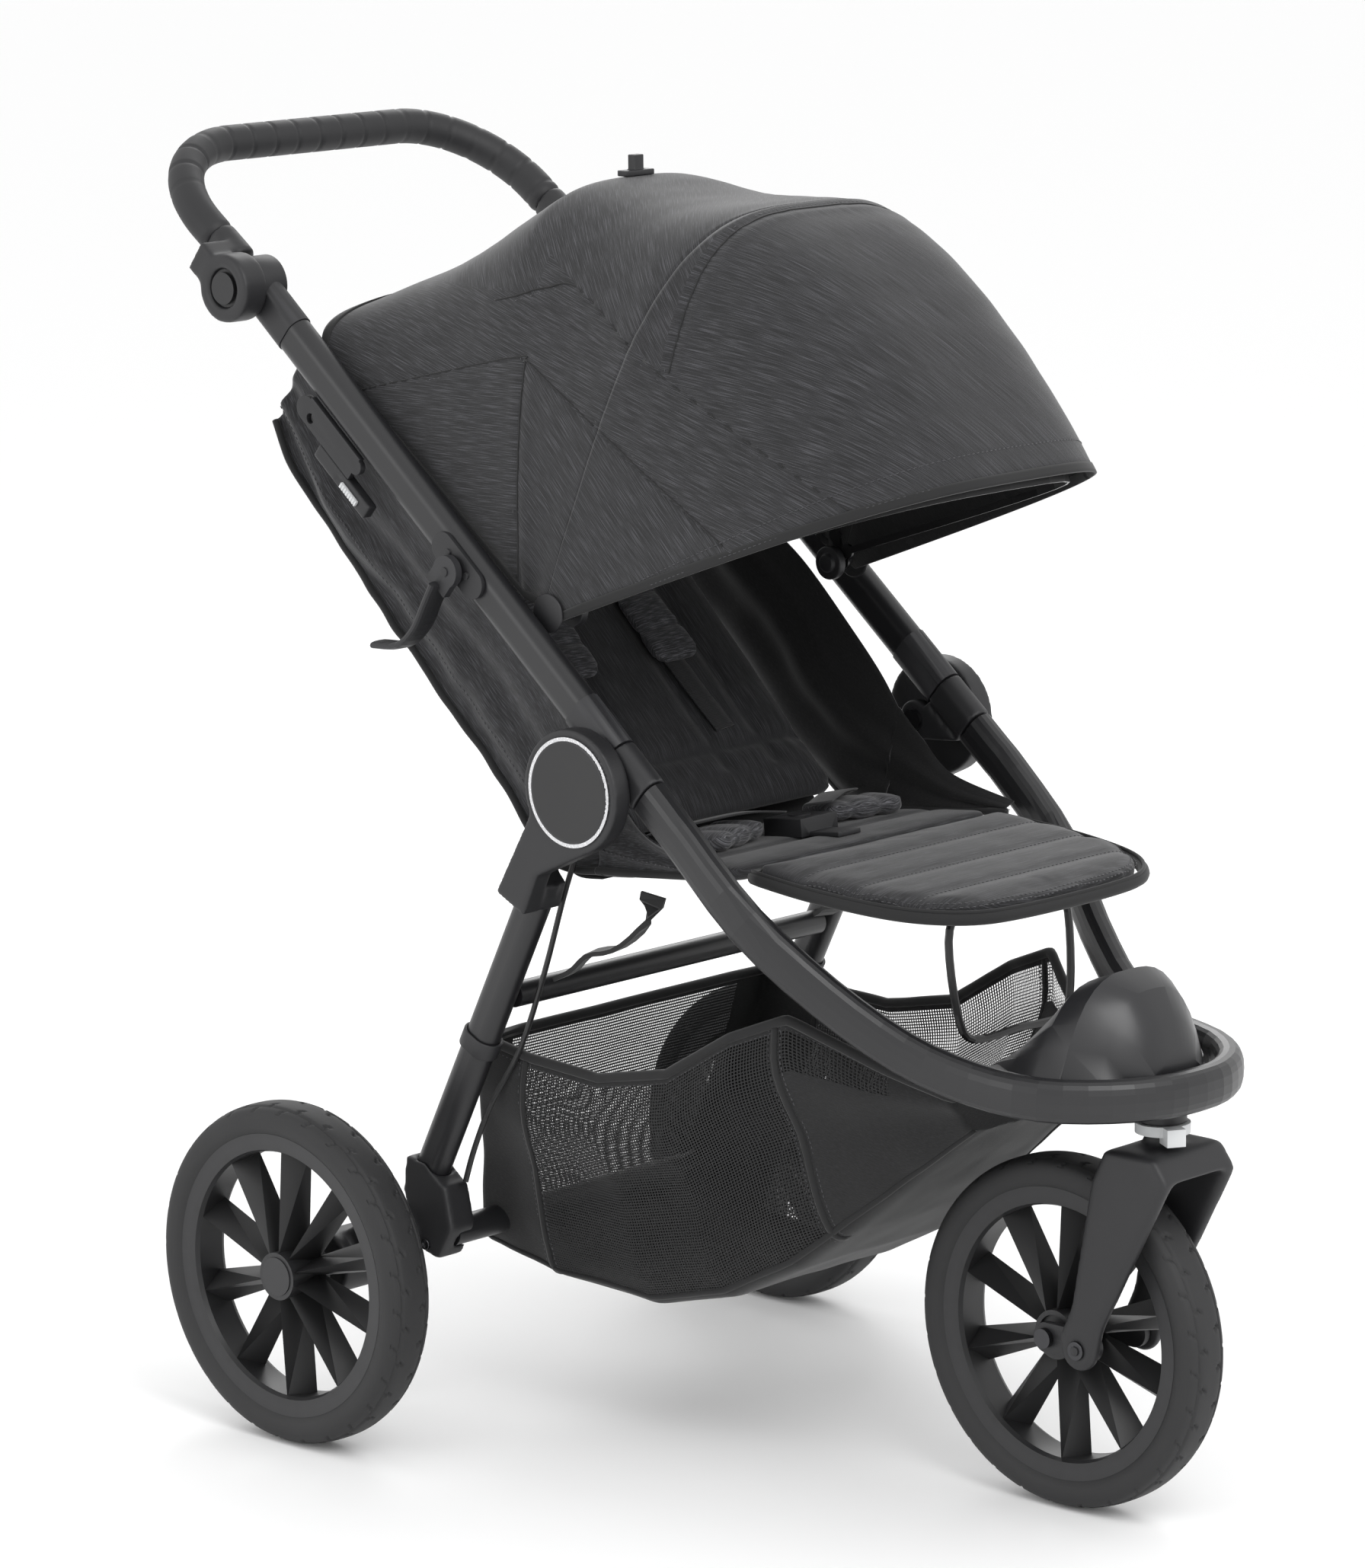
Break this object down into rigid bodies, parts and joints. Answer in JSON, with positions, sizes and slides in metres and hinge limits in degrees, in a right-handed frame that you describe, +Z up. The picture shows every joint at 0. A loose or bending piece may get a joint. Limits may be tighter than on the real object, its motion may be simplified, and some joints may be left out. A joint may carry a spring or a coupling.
{
  "type": "baby stroller",
  "caption": "Folding three-wheeled baby stroller with sloping alloy frame, canopy, reclining padded seat, basket and adjustable push bar.",
  "frame": {"origin": "on the floor, under the middle of the stroller as seen from above", "axes": "+X forward, in the direction of travel; +Y to the left of a child in the seat; +Z up"},
  "size_m": [1.0574, 0.659, 1.1113],
  "materials": {
    "alloy_black": "satin black anodised alloy",
    "badge_ring": "bright knurled ring",
    "cloth_grey": "charcoal melange weave",
    "fender_plastic": "satin moulded plastic",
    "grip_foam": "soft matte grip",
    "hardware": "dark zinc plated steel",
    "light_plastic": "light grey plastic",
    "lining_black": "plain dark lining cloth",
    "mesh_black": "plain cloth with mesh panels",
    "plastic_black": "matte moulded plastic",
    "steel_black": "black coated steel",
    "tyre_rubber": "matte rubber",
    "webbing_black": "ribbed polyester webbing",
    "wheel_plastic": "satin moulded plastic"
  },
  "bodies": {
    "lower_frame": {"front_loop_tube": "alloy_black", "lower_knuckles": "plastic_black", "hinge_bolts": "hardware", "foot_plate": "fender_plastic", "swivel_housing": "plastic_black", "seat_base": "cloth_grey", "waist_pads": "cloth_grey", "harness_buckle": "plastic_black", "basket": "mesh_black", "fold_stop_straps": "webbing_black"},
    "buckle_release": {"buckle_button": "plastic_black"},
    "leg_rest_pad": {"leg_rest": "cloth_grey", "calf_prop": "steel_black"},
    "upper_frame": {"upper_tube_right": "alloy_black", "upper_tube_left": "alloy_black", "upper_knuckles": "plastic_black", "handle_knuckles": "plastic_black", "canopy_mounts": "plastic_black", "fold_lock_plate": "plastic_black", "fold_lock_body": "plastic_black", "brake_lever_bracket": "plastic_black", "canopy_rear_panel": "cloth_grey", "canopy_rear_bow": "steel_black", "canopy_clip": "plastic_black", "seat_wings": "cloth_grey"},
    "seat_backrest": {"seat_back": "cloth_grey", "shoulder_pads": "cloth_grey", "harness_webbing": "webbing_black"},
    "fold_lock_slider": {"lock_slider": "light_plastic"},
    "parking_brake_lever": {"brake_lever": "plastic_black"},
    "handlebar": {"handlebar_tube": "alloy_black", "handlebar_grip": "grip_foam", "handle_joint_housings": "plastic_black"},
    "button_right": {"handle_button_right": "plastic_black"},
    "button_left": {"handle_button_left": "plastic_black"},
    "canopy_middle": {"canopy_mid_panel": "cloth_grey", "canopy_mid_bow": "steel_black"},
    "canopy_front": {"canopy_front_panel": "cloth_grey", "canopy_front_bow": "steel_black"},
    "swivel_lock": {"swivel_lock_ring": "light_plastic"},
    "fork": {"front_fork": "plastic_black"},
    "front_suspension": {"suspension_arms": "plastic_black", "front_axle": "hardware"},
    "front_wheel": {"front_tyre": "tyre_rubber", "front_rim": "wheel_plastic"},
    "rear_frame": {"rear_leg_right": "alloy_black", "rear_leg_left": "alloy_black", "leg_heads": "plastic_black", "hinge_badges": "badge_ring", "leg_collars": "plastic_black", "axle_housings": "plastic_black", "cross_bars": "alloy_black", "brake_cable": "steel_black", "rear_axles": "hardware"},
    "right_wheel": {"right_tyre": "tyre_rubber", "right_rim": "wheel_plastic", "right_hub_cap": "plastic_black"},
    "left_wheel": {"left_tyre": "tyre_rubber", "left_rim": "wheel_plastic", "left_hub_cap": "plastic_black"}
  },
  "joints": [
    {"name": "frame_fold", "type": "hinge", "parent": "lower_frame", "child": "upper_frame", "pos_m": [0.0352, 0, 0.59798], "axis": [0, -1, 0], "range_deg": [0, 120], "deforming": ["seat_back", "seat_wings", "shoulder_pads", "harness_webbing"]},
    {"name": "leg_fold", "type": "hinge", "parent": "lower_frame", "child": "rear_frame", "pos_m": [0.0352, 0, 0.59798], "axis": [0, -1, 0], "range_deg": [0, 42], "deforming": ["basket", "fold_stop_straps"]},
    {"name": "handle_tilt", "type": "hinge", "parent": "upper_frame", "child": "handlebar", "pos_m": [-0.36953, 0, 0.98975], "axis": [0, 1, 0], "range_deg": [-60, 20]},
    {"name": "press_right", "type": "slide", "parent": "handlebar", "child": "button_right", "axis": [0, 1, 0], "range_m": [0, 0.0035], "stiffness_N_per_m": 1500, "springref_m": -0.002},
    {"name": "press_left", "type": "slide", "parent": "handlebar", "child": "button_left", "axis": [0, -1, 0], "range_m": [0, 0.0035], "stiffness_N_per_m": 1500, "springref_m": -0.002},
    {"name": "canopy_fold", "type": "hinge", "parent": "upper_frame", "child": "canopy_middle", "pos_m": [-0.03328, 0, 0.735], "axis": [0, -1, 0], "range_deg": [0, 24], "deforming": ["canopy_mid_panel"]},
    {"name": "canopy_front_fold", "type": "hinge", "parent": "canopy_middle", "child": "canopy_front", "pos_m": [-0.03328, 0, 0.735], "axis": [0, -1, 0], "range_deg": [0, 42], "deforming": ["canopy_front_panel"]},
    {"name": "seat_recline", "type": "hinge", "parent": "upper_frame", "child": "seat_backrest", "pos_m": [-0.03628, 0, 0.528], "axis": [0, -1, 0], "range_deg": [0, 18]},
    {"name": "slide_lock", "type": "slide", "parent": "upper_frame", "child": "fold_lock_slider", "axis": [-0.7638, 0, 0.6455], "range_m": [0, 0.008]},
    {"name": "brake_pull", "type": "hinge", "parent": "upper_frame", "child": "parking_brake_lever", "pos_m": [-0.11524, 0, 0.767], "axis": [0, 1, 0], "range_deg": [0, 32]},
    {"name": "leg_rest_tilt", "type": "hinge", "parent": "lower_frame", "child": "leg_rest_pad", "pos_m": [0.16372, 0, 0.534], "axis": [0, 1, 0], "range_deg": [0, 30]},
    {"name": "buckle_press", "type": "slide", "parent": "lower_frame", "child": "buckle_release", "axis": [0.1092, 0, -0.994], "range_m": [0, 0.0025], "stiffness_N_per_m": 800, "springref_m": -0.002},
    {"name": "swivel_lock_turn", "type": "hinge", "parent": "lower_frame", "child": "swivel_lock", "pos_m": [0.47572, 0, 0.34], "axis": [0, 0, 1], "range_deg": [0, 40]},
    {"name": "fork_swivel", "type": "hinge", "parent": "lower_frame", "child": "fork", "pos_m": [0.47572, 0, 0.34], "axis": [0, 0, 1], "continuous": true},
    {"name": "suspension_travel", "type": "hinge", "parent": "fork", "child": "front_suspension", "pos_m": [0.42272, 0, 0.15], "axis": [0, 1, 0], "range_deg": [0, 7], "stiffness_Nm_per_rad": 60, "springref_deg": -6.88},
    {"name": "front_wheel_spin", "type": "hinge", "parent": "front_suspension", "child": "front_wheel", "pos_m": [0.37872, 0, 0.15], "axis": [0, 1, 0], "continuous": true},
    {"name": "right_wheel_spin", "type": "hinge", "parent": "rear_frame", "child": "right_wheel", "pos_m": [-0.24028, -0.3065, 0.15], "axis": [0, 1, 0], "continuous": true},
    {"name": "left_wheel_spin", "type": "hinge", "parent": "rear_frame", "child": "left_wheel", "pos_m": [-0.24028, 0.3065, 0.15], "axis": [0, 1, 0], "continuous": true}
  ],
  "couplings": [
    {"joint": "leg_fold", "follows": "frame_fold", "ratio": 0.35}
  ]
}
